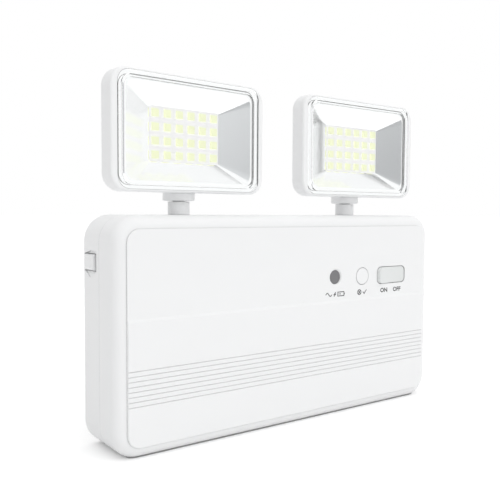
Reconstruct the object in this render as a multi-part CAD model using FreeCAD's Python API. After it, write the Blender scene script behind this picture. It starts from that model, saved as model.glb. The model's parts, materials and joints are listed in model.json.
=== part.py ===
import FreeCAD, Part
import math
import os
from FreeCAD import Vector

# Twin-head LED emergency light.
#
# Frame: millimetres, +Z up, the front faces -Y, +X to the right as seen from the front.
# Origin: the middle of the flat base, half way through the case's depth.
# Every sub-part is one file in parts/, named after the piece.

# ---------------------------------------------------------------- driving sizes
# Case
CASE_WIDTH = 270.0
CASE_HEIGHT = 142.0
CASE_DEPTH = 43.0
COVER_DEPTH = 20.5
CORNER_R = 16.0
FRONT_EDGE_R = 6.5
BACK_EDGE_R = 1.0
SPLIT_CHAMFER = 0.3
WALL = 2.2
FIT_GAP = 0.2

# Raised panel on the front, in two fields that meet at a crease
PANEL_SIDE_INSET = 7.7
PANEL_TOP_INSET = 8.0
PANEL_BOTTOM_INSET = 6.7
PANEL_RISE = 1.0
LOWER_FIELD_RISE = 0.5
CREASE_Z = 80.3
CREASE_HEIGHT = 2.0
PANEL_EDGE_R = 0.8
GROOVE_COUNT = 8
GROOVE_PITCH = 2.97
GROOVE_TOP_Z = 52.0
GROOVE_WIDTH = 0.9
GROOVE_DEPTH = 0.5

# Lip that locates the cover in the shell
LIP_THICKNESS = 1.0
LIP_LENGTH = 1.6

# Row of controls on the panel; the insets run from the right end of the case
CONTROL_Z = 97.8
INDICATOR_INSET = 101.2
INDICATOR_Z = CONTROL_Z + 0.6
INDICATOR_BORE = 9.8
INDICATOR_BEVEL = 0.9
INDICATOR_RECESS = 0.9
INDICATOR_EDGE_R = 0.4
INDICATOR_LED_R = 2.5
BUTTON_INSET = 74.7
BUTTON_DIAMETER = 12.1
BUTTON_GAP = 0.35
BUTTON_PROUD = 0.3
BUTTON_EDGE_R = 0.4
BUTTON_TRAVEL = 1.5
ROCKER_INSET = 44.0
ROCKER_Z = CONTROL_Z - 0.35
ROCKER_LENGTH = 29.6
ROCKER_HEIGHT = 12.1
ROCKER_GAP = 0.4
ROCKER_CORNER_R = 3.2
ROCKER_PIVOT_DEPTH = 6.0
ROCKER_HALF_SWING = 5.0
ROCKER_SINK = 0.4
ROCKER_BACK = 2.4
TRUNNION_R = 1.4
TRUNNION_LENGTH = 1.8
TRUNNION_EAR_WALL = 0.9
ROCKER_SWITCH_INSET = 2.0

# Screws that hold the case together, and their posts
SCREW_INSET = 15.0
SCREW_R = 1.5
SCREW_HEAD_R = 2.9
SCREW_HEAD_HEIGHT = 2.0
SCREW_CROSS_REACH = 1.75
SCREW_CROSS_WIDTH = 0.8
SMALL_SCREW_HEAD_R = 2.5
SCREW_POST_R = 4.2
SCREW_LENGTH = 16.0

# Snap tongues of the cover and the windows that they catch in
TONGUE_Z = 113.5
TONGUE_WIDTH = 9.8
TONGUE_THICKNESS = 2.0
TONGUE_ROOT = 11.0
TONGUE_INSET = 4.0
PAD_START = 27.8
PAD_LENGTH = 13.0
PAD_PROUD = 1.0
PAD_EDGE_R = 2.2
WINDOW_FRONT_GAP = 3.8
WINDOW_GAP = 0.4
RECESS_DEPTH = 1.4
RECESS_RISE = 1.8
RECESS_LEVEL = 9.0
RECESS_RAMP = 4.0

# Wall fixing and cable entry in the back
KEYHOLE_SPACING = 160.0
KEYHOLE_Z = 96.0
KEYHOLE_ENTRY_R = 4.0
KEYHOLE_SLOT_R = 2.1
KEYHOLE_SLOT_RISE = 8.0
CABLE_INSET = 35.0
CABLE_Z = 40.0
CABLE_HOLE_R = 5.5
CABLE_BORE_R = 3.5
GROMMET_FLANGE_R = 8.0
GROMMET_FLANGE = 1.5

# Posts that carry the lamp heads
HEAD_SPACING = 148.4
POST_SETBACK = 10.2
POST_R = 7.05
POST_EXPOSED = 9.0
POST_CHAMFER = 0.4
POST_TOP_GAP = 0.5
SPIGOT_R = 5.5
SPIGOT_LENGTH = 23.0
RUNNING_GAP = 0.06
WIRE_BORE_R = 2.2
BOSS_R = 7.8
BOSS_LENGTH = 16.0
CLIP_R = 7.6
CLIP_THICKNESS = 1.2
CLIP_GROOVE_DEPTH = 1.1
CLIP_MOUTH_HALF = 3.1
WASHER_THICKNESS = 1.0
SEAT_GAP = 0.1

# Ball swivel between post and head
BALL_R = 6.8
BALL_GAP = 0.07
BALL_HEIGHT = 6.5
NECK_R = 4.2
COLLAR_R = 10.4
COLLAR_HEIGHT = 4.8
COLLAR_LIP = 0.9
COLLAR_FLARE = 3.0
COLLAR_CHAMFER = 0.6
COLLAR_SPIGOT_WALL = 1.2

# Lamp heads
HEAD_WIDTH = 117.0
HEAD_HEIGHT = 72.2
HEAD_CORNER_R = 11.0
RIM_FRONT = 16.6
RIM_DEPTH = 14.0
RIM_SIDE = 4.2
RIM_TOP = 1.4
RIM_FRONT_R = 1.5
RIM_BACK_R = 4.0
BACK_WALL = 2.0
PAN_WIDTH = 88.0
PAN_HEIGHT = 50.0
PAN_DEPTH = 11.6
PAN_TAPER = 8.0
PAN_WALL = 2.0
PAN_CORNER_R = 8.0
BOSS_TOP_WALL = 2.5
BOSS_DOME_R = 4.5
WIRE_DUCT_MARGIN = 1.0
WIRE_DUCT_WALL = 1.4
LEFT_HEAD_ANGLE = 4.8
RIGHT_HEAD_ANGLE = 1.3

# Lens, reflector and LED board in each head
LENS_GAP = 0.15
LENS_THICKNESS = 2.0
LENS_PLATEAU_INSET = 2.2
LENS_PLATEAU_RISE = 1.5
LENS_CORNER_R = 8.0
REFLECTOR_WIDTH = 95.9
REFLECTOR_HEIGHT = 58.7
REFLECTOR_WALL = 0.8
REFLECTOR_CORNER_R = 7.0
LIGHT_WIDTH = 53.6
LIGHT_HEIGHT = 34.0
LIGHT_CORNER_R = 1.5
LED_BOARD_MARGIN = 3.0
LED_BOARD_THICKNESS = 1.6
LED_COLUMNS = 6
LED_ROWS = 4
LED_PITCH_X = 9.05
LED_PITCH_Z = 8.6
LED_SIZE = 5.0
LED_HEIGHT = 1.2

# Parts inside the case
BOARD_THICKNESS = 1.6
CONTROL_BOARD_WIDTH = 96.0
CONTROL_BOARD_HEIGHT = 24.0
CONTROL_BOARD_INSET = 22.5
CONTROL_BOARD_DEPTH = 16.5
CONTROL_POST_R = 3.0
BUTTON_SWITCH_SIZE = 8.5
BUTTON_SWITCH_HEIGHT = 8.0
PLUNGER_SIZE = 3.4
BUTTON_FLANGE = 1.1
BUTTON_FLANGE_THICKNESS = 1.2
BUTTON_STEM_SIZE = 6.0
MAIN_BOARD_WIDTH = 96.0
MAIN_BOARD_HEIGHT = 62.0
MAIN_BOARD_INSET = 21.0
MAIN_BOARD_Z = 52.0
MAIN_BOARD_STANDOFF = 6.0
TRANSFORMER_X = 26.0
TRANSFORMER_Z = 8.0
CORE_WIDTH = 22.0
CORE_HEIGHT = 26.0
CORE_TALL = 9.0
WINDING_WIDTH = 14.0
WINDING_HEIGHT = 34.0
WINDING_TALL = 14.0
RELAY_Z = 14.0
RELAY_WIDTH = 15.0
RELAY_HEIGHT = 19.0
RELAY_TALL = 14.0
CAPACITOR_R = 4.5
CAPACITOR_TALL = 12.0
CAPACITOR_EDGE_R = 0.6
CAPACITOR_SPACING = 12.0
CAPACITOR_DROP = 15.0
TERMINAL_X = -34.0
TERMINAL_Z = 12.0
TERMINAL_WIDTH = 12.0
TERMINAL_TALL = 11.0
POLE_COUNT = 3
POLE_PITCH = 7.5
POLE_MOUTH = 4.0
CELL_R = 9.2
CELL_LENGTH = 65.0
CELL_COUNT = 3
SLEEVE_WEB_SHARE = 0.8
BATTERY_INSET = 46.5
BATTERY_Z = 42.0
STRAP_WIDTH = 14.0
STRAP_THICKNESS = 1.5
STRAP_EAR = 9.0

# ---------------------------------------------------------------- derived places
Y_FRONT = -CASE_DEPTH / 2
Y_SPLIT = Y_FRONT + COVER_DEPTH
Y_BACK = CASE_DEPTH / 2
Y_BACK_INNER = Y_BACK - WALL
Y_PANEL = Y_FRONT - PANEL_RISE
Y_PANEL_INNER = Y_PANEL + WALL
PANEL_WIDTH = CASE_WIDTH - 2 * PANEL_SIDE_INSET
PANEL_HEIGHT = CASE_HEIGHT - PANEL_TOP_INSET - PANEL_BOTTOM_INSET
PANEL_Z = PANEL_BOTTOM_INSET + PANEL_HEIGHT / 2
PANEL_CORNER_R = CORNER_R - PANEL_SIDE_INSET

POST_Y = Y_BACK - POST_SETBACK
Z_COLLAR = CASE_HEIGHT + POST_EXPOSED
Z_HEAD = Z_COLLAR + COLLAR_HEIGHT
Z_BALL = Z_COLLAR + BALL_HEIGHT
HEAD_CENTRE_Z = Z_HEAD + HEAD_HEIGHT / 2
RIM_BACK = -RIM_FRONT + RIM_DEPTH
CABLE_X = CABLE_INSET - CASE_WIDTH / 2
INDICATOR_X = CASE_WIDTH / 2 - INDICATOR_INSET
BUTTON_X = CASE_WIDTH / 2 - BUTTON_INSET
ROCKER_X = CASE_WIDTH / 2 - ROCKER_INSET
CONTROL_BOARD_X = CASE_WIDTH / 2 - CONTROL_BOARD_INSET - CONTROL_BOARD_WIDTH / 2
MAIN_BOARD_X = MAIN_BOARD_INSET + MAIN_BOARD_WIDTH / 2 - CASE_WIDTH / 2
BATTERY_X = CASE_WIDTH / 2 - BATTERY_INSET - CELL_LENGTH / 2
BOARD_Y = RIM_BACK - BACK_WALL - LED_BOARD_THICKNESS
SOCKET_R = BALL_R + BALL_GAP
COLLAR_SPIGOT_R = COLLAR_R - COLLAR_SPIGOT_WALL

CONTROL_BOARD_Y = Y_PANEL + CONTROL_BOARD_DEPTH
ROCKER_PIVOT_Y = Y_PANEL + ROCKER_PIVOT_DEPTH
ROCKER_END_R = math.hypot(ROCKER_LENGTH / 2, ROCKER_PIVOT_DEPTH)
MAIN_BOARD_Y = Y_BACK_INNER - MAIN_BOARD_STANDOFF - BOARD_THICKNESS

UP = Vector(0, 0, 1)
BACKWARDS = Vector(0, 1, 0)
TOLERANCE = 1e-4


# ---------------------------------------------------------------- shape helpers
def rounded_outline(width, height, radius, y, x=0.0, z=0.0):
    """Upright rectangle with rounded corners, as a closed wire in the plane at depth y."""
    corners = [(1, 1, 0), (-1, 1, 90), (-1, -1, 180), (1, -1, 270)]
    arcs = []
    for side, level, start in corners:
        centre_x = x + side * (width / 2 - radius)
        centre_z = z + level * (height / 2 - radius)
        points = []
        for angle in (start, start + 45, start + 90):
            turn = math.radians(angle)
            points.append(Vector(centre_x + radius * math.cos(turn), y, centre_z + radius * math.sin(turn)))
        arcs.append(points)
    edges = []
    for i, points in enumerate(arcs):
        edges.append(Part.Arc(*points).toShape())
        following = arcs[(i + 1) % 4][0]
        edges.append(Part.LineSegment(points[2], following).toShape())
    return Part.Wire(edges)


def rounded_block(width, height, radius, y0, y1, x=0.0, z=0.0):
    """Block with rounded upright corners that runs from depth y0 to y1."""
    face = Part.Face(rounded_outline(width, height, radius, y0, x, z))
    return face.extrude(Vector(0, y1 - y0, 0))


def box(x0, x1, y0, y1, z0, z1):
    return Part.makeBox(x1 - x0, y1 - y0, z1 - z0, Vector(x0, y0, z0))


def cylinder_y(radius, x, z, y0, y1):
    return Part.makeCylinder(radius, y1 - y0, Vector(x, y0, z), BACKWARDS)


def cylinder_z(radius, x, y, z0, z1):
    return Part.makeCylinder(radius, z1 - z0, Vector(x, y, z0), UP)


def edges_in_plane(shape, y):
    """Edges that lie in the plane at depth y."""
    found = []
    for edge in shape.Edges:
        bounds = edge.BoundBox
        if abs(bounds.YMin - y) < TOLERANCE and abs(bounds.YMax - y) < TOLERANCE:
            found.append(edge)
    return found


def round_rim(shape, y, radius):
    """Rounds the whole edge loop of a block's end face at depth y."""
    return shape.makeFillet(radius, edges_in_plane(shape, y))


def prism_x(points, x0, x1):
    """Prism along X over a polygon of (y, z) points."""
    corners = [Vector(x0, y, z) for y, z in points]
    face = Part.Face(Part.makePolygon(corners + corners[:1]))
    return face.extrude(Vector(x1 - x0, 0, 0))


def revolve(profile_edges, x, y):
    """Turned piece: (radius, height) edges revolved about a vertical axis at x, y."""
    face = Part.Face(Part.Wire(profile_edges))
    face.translate(Vector(x, y, 0))
    return face.revolve(Vector(x, y, 0), UP, 360)


def profile_lines(points):
    """Straight edges through (radius, height) points in the XZ plane."""
    vectors = [Vector(r, 0, z) for r, z in points]
    return [Part.LineSegment(a, b).toShape() for a, b in zip(vectors, vectors[1:])]


def profile_arc(radius, centre_z, from_angle, to_angle):
    """Arc about (0, centre_z); angles are degrees above the horizontal."""
    points = []
    for angle in (from_angle, (from_angle + to_angle) / 2, to_angle):
        turn = math.radians(angle)
        points.append(Vector(radius * math.cos(turn), 0, centre_z + radius * math.sin(turn)))
    return Part.Arc(*points).toShape()


def frustum(width0, height0, radius0, y0, width1, height1, radius1, y1, z=0.0):
    """Block between two rounded rectangles at depths y0 and y1."""
    ends = [rounded_outline(width0, height0, radius0, y0, 0.0, z),
            rounded_outline(width1, height1, radius1, y1, 0.0, z)]
    return Part.makeLoft(ends, True, True)


def fuse_all(shapes):
    return shapes[0].multiFuse(shapes[1:]).removeSplitter()


def cut_all(shape, tools):
    return shape.cut(Part.makeCompound(tools)).removeSplitter()


def screw_places():
    x = CASE_WIDTH / 2 - SCREW_INSET
    return [(side * x, z) for side in (-1, 1) for z in (SCREW_INSET, CASE_HEIGHT - SCREW_INSET)]


def export(name, shape):
    shape.exportStep("parts/%s.step" % name)


# ---------------------------------------------------------------- front cover
def raised_panel():
    """Panel in two fields; the lower one stands further out, below a sloping crease."""
    block = rounded_block(PANEL_WIDTH, PANEL_HEIGHT, PANEL_CORNER_R,
                          Y_PANEL - LOWER_FIELD_RISE, Y_FRONT + WALL / 2, 0.0, PANEL_Z)
    upper = prism_x([(Y_PANEL, CREASE_Z + CREASE_HEIGHT),
                     (Y_PANEL - LOWER_FIELD_RISE, CREASE_Z),
                     (Y_PANEL - WALL, CREASE_Z),
                     (Y_PANEL - WALL, CASE_HEIGHT),
                     (Y_PANEL, CASE_HEIGHT)],
                    -CASE_WIDTH / 2, CASE_WIDTH / 2)
    block = round_rim(block, Y_PANEL - LOWER_FIELD_RISE, min(PANEL_EDGE_R, LOWER_FIELD_RISE + PANEL_RISE / 2))
    return block.cut(upper)


def grooves():
    """V grooves that run across the lower field."""
    face_y = Y_PANEL - LOWER_FIELD_RISE
    cutters = []
    for i in range(GROOVE_COUNT):
        z = GROOVE_TOP_Z - i * GROOVE_PITCH
        cutters.append(prism_x([(face_y - GROOVE_DEPTH, z + GROOVE_WIDTH),
                                (face_y + GROOVE_DEPTH, z),
                                (face_y - GROOVE_DEPTH, z - GROOVE_WIDTH)],
                               -CASE_WIDTH / 2, CASE_WIDTH / 2))
    return cutters


def rocker_drum(gap):
    """Drum about the rocker's pivot, with rounded rims: the same from any angle of the rocker."""
    half = ROCKER_HEIGHT / 2 + gap
    drum = cylinder_z(ROCKER_END_R + gap, ROCKER_X, ROCKER_PIVOT_Y, ROCKER_Z - half, ROCKER_Z + half)
    rims = [edge for edge in drum.Edges if edge.Closed]
    return drum.makeFillet(ROCKER_CORNER_R + gap, rims)


def control_openings():
    """Bevelled indicator hole, button hole and rocker opening in the panel."""
    front = Y_PANEL - WALL
    back = Y_PANEL_INNER + WALL
    bevel_r = INDICATOR_BORE / 2 + INDICATOR_BEVEL
    bevel = Part.makeCone(bevel_r, bevel_r - INDICATOR_BEVEL, INDICATOR_BEVEL,
                          Vector(INDICATOR_X, Y_PANEL, INDICATOR_Z), BACKWARDS)
    return [cylinder_y(INDICATOR_BORE / 2 + FIT_GAP / 2, INDICATOR_X, INDICATOR_Z, front, back),
            bevel,
            cylinder_y(BUTTON_DIAMETER / 2 + BUTTON_GAP, BUTTON_X, CONTROL_Z, front, back),
            rocker_drum(ROCKER_GAP)]


def control_post_places():
    half = CONTROL_BOARD_WIDTH / 2 - CONTROL_POST_R
    low = CONTROL_Z - CONTROL_BOARD_HEIGHT / 2 + CONTROL_POST_R
    high = CONTROL_Z + CONTROL_BOARD_HEIGHT / 2 - CONTROL_POST_R
    return [(CONTROL_BOARD_X - half, low), (CONTROL_BOARD_X + half, high)]


def tongue(side):
    """Springy tongue on one side of the cover, with the pad that shows in the window."""
    low = TONGUE_Z - TONGUE_WIDTH / 2
    high = TONGUE_Z + TONGUE_WIDTH / 2
    wall_x = CASE_WIDTH / 2 - WALL
    outer_x = wall_x - TONGUE_INSET
    pad_front = Y_FRONT + PAD_START
    pad_back = pad_front + PAD_LENGTH
    arm = box(outer_x - TONGUE_THICKNESS, outer_x, Y_SPLIT - TONGUE_ROOT, pad_back, low, high)
    root = box(outer_x - TONGUE_THICKNESS, wall_x + WALL / 2,
               Y_SPLIT - TONGUE_ROOT, Y_SPLIT - FIT_GAP, low, high)
    pad = box(outer_x - TONGUE_THICKNESS / 2, CASE_WIDTH / 2 + PAD_PROUD, pad_front, pad_back, low, high)
    face_edges = [edge for edge in pad.Edges if edge.BoundBox.XMin > CASE_WIDTH / 2]
    pad = pad.makeFillet(PAD_EDGE_R, face_edges)
    piece = arm.fuse([root, pad])
    if side < 0:
        piece = piece.mirror(Vector(0, 0, 0), Vector(1, 0, 0))
    return piece


def front_cover():
    outer = rounded_block(CASE_WIDTH, CASE_HEIGHT, CORNER_R, Y_FRONT, Y_SPLIT, 0.0, CASE_HEIGHT / 2)
    outer = round_rim(outer, Y_FRONT, FRONT_EDGE_R)
    outer = outer.makeChamfer(SPLIT_CHAMFER, edges_in_plane(outer, Y_SPLIT))
    inside_w = CASE_WIDTH - 2 * WALL
    inside_h = CASE_HEIGHT - 2 * WALL
    inside_r = CORNER_R - WALL
    hollow = rounded_block(inside_w, inside_h, inside_r, Y_FRONT + WALL, Y_SPLIT, 0.0, CASE_HEIGHT / 2)
    hollow = round_rim(hollow, Y_FRONT + WALL, FRONT_EDGE_R - WALL)
    pocket = rounded_block(PANEL_WIDTH - 2 * WALL, PANEL_HEIGHT - 2 * WALL, PANEL_CORNER_R - WALL / 2,
                           Y_PANEL_INNER, Y_FRONT + WALL + 1, 0.0, PANEL_Z)
    shell = outer.fuse(raised_panel()).cut(hollow).cut(pocket)

    lip = rounded_block(inside_w + 2 * LIP_THICKNESS, inside_h + 2 * LIP_THICKNESS, inside_r + LIP_THICKNESS,
                        Y_SPLIT - 1, Y_SPLIT + LIP_LENGTH, 0.0, CASE_HEIGHT / 2)
    lip = lip.cut(rounded_block(inside_w, inside_h, inside_r, Y_SPLIT - 2, Y_SPLIT + LIP_LENGTH + 1,
                                0.0, CASE_HEIGHT / 2))
    additions = [shell, lip, tongue(-1), tongue(1)]
    for x, z in screw_places():
        additions.append(cylinder_y(SCREW_POST_R, x, z, Y_PANEL_INNER - WALL / 2, Y_SPLIT))
    for x, z in control_post_places():
        additions.append(cylinder_y(CONTROL_POST_R, x, z, Y_PANEL_INNER - WALL / 2, CONTROL_BOARD_Y))
    cover = fuse_all(additions)

    tools = grooves() + control_openings()
    for x, z in screw_places():
        tools.append(cylinder_y(SCREW_R, x, z, Y_SPLIT - SCREW_LENGTH + WALL, Y_SPLIT + 1))
    return cut_all(cover, tools)


# ---------------------------------------------------------------- rear shell
def keyholes():
    """Entry hole with a narrower slot above it, twice."""
    cutters = []
    for side in (-1, 1):
        x = side * KEYHOLE_SPACING / 2
        top = KEYHOLE_Z + KEYHOLE_SLOT_RISE
        y0 = Y_BACK_INNER - 1
        y1 = Y_BACK + 1
        cutters.append(cylinder_y(KEYHOLE_ENTRY_R, x, KEYHOLE_Z, y0, y1))
        cutters.append(cylinder_y(KEYHOLE_SLOT_R, x, top, y0, y1))
        cutters.append(box(x - KEYHOLE_SLOT_R, x + KEYHOLE_SLOT_R, y0, y1, KEYHOLE_Z, top))
    return cutters


def side_window(side):
    """Window for a tongue's pad, in a shallow recess that rises above it and ramps out below it."""
    front = Y_FRONT + PAD_START - WINDOW_FRONT_GAP
    back = Y_FRONT + PAD_START + PAD_LENGTH + WINDOW_GAP
    low = TONGUE_Z - TONGUE_WIDTH / 2 - WINDOW_GAP
    high = TONGUE_Z + TONGUE_WIDTH / 2 + WINDOW_GAP
    face_x = CASE_WIDTH / 2
    outer_x = face_x + 1
    floor_x = face_x - RECESS_DEPTH
    window = box(face_x - WALL - 1, outer_x, front, back, low, high)
    recess = prism_x([(front, low), (back, low), (back, high),
                      (front + RECESS_LEVEL, high + RECESS_RISE), (front, high + RECESS_RISE)],
                     floor_x, outer_x)
    rim = Part.makePolygon([Vector(outer_x, front, low), Vector(outer_x, back, low),
                            Vector(floor_x, back, low), Vector(floor_x, front, low),
                            Vector(outer_x, front, low)])
    foot = Part.Vertex(face_x, (front + back) / 2, low - RECESS_RAMP)
    ramp = Part.makeLoft([rim, foot], True, True)
    window = window.fuse([recess, ramp])
    return window if side > 0 else window.mirror(Vector(0, 0, 0), Vector(1, 0, 0))


def main_post_places():
    half_w = MAIN_BOARD_WIDTH / 2 - CONTROL_POST_R
    half_h = MAIN_BOARD_HEIGHT / 2 - CONTROL_POST_R
    return [(MAIN_BOARD_X + side * half_w, MAIN_BOARD_Z + level * half_h)
            for side in (-1, 1) for level in (-1, 1)]


def strap_post_places():
    reach = CELL_COUNT * CELL_R + STRAP_EAR / 2
    return [(BATTERY_X, BATTERY_Z + level * reach) for level in (-1, 1)]


def battery_ribs():
    """Ribs at the ends of the cells and between them, off the back wall."""
    ribs = []
    for side in (-1, 1):
        inner = BATTERY_X + side * (CELL_LENGTH / 2 + FIT_GAP)
        outer = inner + side * WALL
        ribs.append(box(min(inner, outer), max(inner, outer), Y_BACK_INNER - CELL_R, Y_BACK_INNER + WALL / 2,
                        BATTERY_Z - CELL_COUNT * CELL_R, BATTERY_Z + CELL_COUNT * CELL_R))
    return ribs


def rear_shell():
    middle = CASE_HEIGHT / 2
    outer = rounded_block(CASE_WIDTH, CASE_HEIGHT, CORNER_R, Y_SPLIT, Y_BACK, 0.0, middle)
    outer = round_rim(outer, Y_BACK, BACK_EDGE_R)
    outer = outer.makeChamfer(SPLIT_CHAMFER, edges_in_plane(outer, Y_SPLIT))
    hollow = rounded_block(CASE_WIDTH - 2 * WALL, CASE_HEIGHT - 2 * WALL, CORNER_R - WALL,
                           Y_SPLIT - 1, Y_BACK_INNER, 0.0, middle)
    rebate_wall = WALL - LIP_THICKNESS - FIT_GAP
    rebate = rounded_block(CASE_WIDTH - 2 * rebate_wall, CASE_HEIGHT - 2 * rebate_wall,
                           CORNER_R - rebate_wall, Y_SPLIT - 1, Y_SPLIT + LIP_LENGTH + FIT_GAP, 0.0, middle)
    shell = outer.cut(hollow).cut(rebate)

    in_back_wall = Y_BACK_INNER + WALL / 2
    boss_bottom = CASE_HEIGHT - BOSS_LENGTH
    additions = [shell]
    for x, z in screw_places():
        additions.append(cylinder_y(SCREW_POST_R, x, z, Y_SPLIT + FIT_GAP, in_back_wall))
    for side in (-1, 1):
        x = side * HEAD_SPACING / 2
        additions.append(cylinder_z(BOSS_R, x, POST_Y, boss_bottom, CASE_HEIGHT - WALL / 2))
    for x, z in main_post_places():
        additions.append(cylinder_y(CONTROL_POST_R, x, z, MAIN_BOARD_Y + BOARD_THICKNESS, in_back_wall))
    for x, z in strap_post_places():
        additions.append(cylinder_y(CONTROL_POST_R, x, z, Y_BACK_INNER - CELL_R, in_back_wall))
    additions += battery_ribs()
    shell = fuse_all(additions)

    tools = keyholes() + [side_window(-1), side_window(1)]
    tools.append(cylinder_y(CABLE_HOLE_R, CABLE_X, CABLE_Z, Y_BACK_INNER - 1, Y_BACK + 1))
    for x, z in screw_places():
        head_seat = Y_SPLIT + SCREW_LENGTH / 2
        tools.append(cylinder_y(SCREW_R + FIT_GAP, x, z, Y_SPLIT - 1, Y_BACK + 1))
        tools.append(cylinder_y(SCREW_HEAD_R + FIT_GAP, x, z, head_seat, Y_BACK + 1))
    for side in (-1, 1):
        x = side * HEAD_SPACING / 2
        tools.append(cylinder_z(SPIGOT_R + RUNNING_GAP, x, POST_Y, boss_bottom - 1, CASE_HEIGHT + 1))
    return cut_all(shell, tools)


def case_screws():
    """Four pan-head screws, driven in from the back."""
    head_seat = Y_SPLIT + SCREW_LENGTH / 2
    screws = []
    for x, z in screw_places():
        shank = cylinder_y(SCREW_R, x, z, head_seat - SCREW_LENGTH, head_seat)
        head = cylinder_y(SCREW_HEAD_R, x, z, head_seat, head_seat + SCREW_HEAD_HEIGHT)
        head = round_rim(head, head_seat + SCREW_HEAD_HEIGHT, SCREW_HEAD_HEIGHT / 3)
        slot_y = head_seat + SCREW_HEAD_HEIGHT / 2
        for turn in (0, 90):
            bar = box(x - SCREW_CROSS_REACH, x + SCREW_CROSS_REACH, slot_y, Y_BACK,
                      z - SCREW_CROSS_WIDTH / 2, z + SCREW_CROSS_WIDTH / 2)
            bar.rotate(Vector(x, slot_y, z), BACKWARDS, turn)
            head = head.cut(bar)
        screws.append(shank.fuse(head).removeSplitter())
    return Part.makeCompound(screws)


def cable_grommet():
    """Rubber grommet in the back wall, with a bore for the supply cable."""
    body = cylinder_y(CABLE_HOLE_R - FIT_GAP / 2, CABLE_X, CABLE_Z, Y_BACK_INNER - GROMMET_FLANGE, Y_BACK)
    flange = cylinder_y(GROMMET_FLANGE_R, CABLE_X, CABLE_Z, Y_BACK_INNER - GROMMET_FLANGE, Y_BACK_INNER)
    grommet = body.fuse(flange).removeSplitter()
    return grommet.cut(cylinder_y(CABLE_BORE_R, CABLE_X, CABLE_Z, Y_FRONT, Y_BACK + 1))


# ---------------------------------------------------------------- controls
def indicator_lens():
    """Smoked lens behind the bevelled hole, held by its flange."""
    radius = INDICATOR_BORE / 2
    front = Y_PANEL + INDICATOR_RECESS
    lens = cylinder_y(radius, INDICATOR_X, INDICATOR_Z, front, Y_PANEL_INNER)
    lens = round_rim(lens, front, INDICATOR_EDGE_R)
    flange = cylinder_y(radius + WALL / 2, INDICATOR_X, INDICATOR_Z, Y_PANEL_INNER, Y_PANEL_INNER + WALL / 2)
    return lens.fuse(flange).removeSplitter()


def indicator_led():
    """Round LED on the control board, right behind the smoked lens."""
    radius = INDICATOR_LED_R
    tip = Y_PANEL_INNER + WALL / 2 + FIT_GAP + radius
    body = cylinder_y(radius, INDICATOR_X, INDICATOR_Z, tip, CONTROL_BOARD_Y)
    dome = Part.makeSphere(radius, Vector(INDICATOR_X, tip, INDICATOR_Z))
    return body.fuse(dome).removeSplitter()


def test_button():
    """Push cap with a retaining flange and a square stem on the switch's plunger."""
    radius = BUTTON_DIAMETER / 2
    front = Y_PANEL - BUTTON_PROUD
    flange_front = Y_PANEL_INNER + SEAT_GAP
    flange_back = flange_front + BUTTON_FLANGE_THICKNESS
    stem_back = CONTROL_BOARD_Y - BUTTON_SWITCH_HEIGHT - BUTTON_TRAVEL - FIT_GAP
    cap = cylinder_y(radius, BUTTON_X, CONTROL_Z, front, flange_back)
    cap = round_rim(cap, front, BUTTON_EDGE_R)
    flange = cylinder_y(radius + BUTTON_FLANGE, BUTTON_X, CONTROL_Z, flange_front, flange_back)
    half = BUTTON_STEM_SIZE / 2
    stem = box(BUTTON_X - half, BUTTON_X + half, flange_front, stem_back, CONTROL_Z - half, CONTROL_Z + half)
    socket_half = PLUNGER_SIZE / 2
    socket = box(BUTTON_X - socket_half, BUTTON_X + socket_half, flange_back, stem_back + 1,
                 CONTROL_Z - socket_half, CONTROL_Z + socket_half)
    return cap.fuse([flange, stem]).removeSplitter().cut(socket)


def test_plunger():
    """Square plunger of the test switch, pressed into the button's stem."""
    half = PLUNGER_SIZE / 2
    front = Y_PANEL_INNER + SEAT_GAP + BUTTON_FLANGE_THICKNESS
    back = CONTROL_BOARD_Y - BUTTON_SWITCH_HEIGHT / 2
    return box(BUTTON_X - half, BUTTON_X + half, front, back, CONTROL_Z - half, CONTROL_Z + half)


def test_switch():
    """Momentary push switch on the control board."""
    half = BUTTON_SWITCH_SIZE / 2
    front = CONTROL_BOARD_Y - BUTTON_SWITCH_HEIGHT
    body = box(BUTTON_X - half, BUTTON_X + half, front, CONTROL_BOARD_Y, CONTROL_Z - half, CONTROL_Z + half)
    well_half = PLUNGER_SIZE / 2 + FIT_GAP
    well_back = CONTROL_BOARD_Y - BUTTON_SWITCH_HEIGHT / 2 + BUTTON_TRAVEL + FIT_GAP
    well = box(BUTTON_X - well_half, BUTTON_X + well_half, front - 1, well_back,
               CONTROL_Z - well_half, CONTROL_Z + well_half)
    return body.cut(well)


def power_rocker():
    """Rocker cap with a dished face, resting with its right end pressed in."""
    half_length = ROCKER_LENGTH / 2
    rise = half_length * math.tan(math.radians(ROCKER_HALF_SWING))
    front = Y_PANEL - rise + ROCKER_SINK
    back = ROCKER_PIVOT_Y + ROCKER_BACK
    keep = box(ROCKER_X - CASE_DEPTH, ROCKER_X + CASE_DEPTH, front, back, 0, CASE_HEIGHT)
    dish_r = (half_length ** 2 + rise ** 2) / (2 * rise)
    dish = cylinder_z(dish_r, ROCKER_X, front + rise - dish_r, 0, CASE_HEIGHT)
    trunnion = cylinder_z(TRUNNION_R, ROCKER_X, ROCKER_PIVOT_Y,
                          ROCKER_Z - ROCKER_HEIGHT / 2 - TRUNNION_LENGTH,
                          ROCKER_Z + ROCKER_HEIGHT / 2 + TRUNNION_LENGTH)
    cap = rocker_drum(0.0).common(keep).cut(dish).fuse(trunnion).removeSplitter()
    cap.rotate(Vector(ROCKER_X, ROCKER_PIVOT_Y, ROCKER_Z), UP, ROCKER_HALF_SWING)
    return cap


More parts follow.
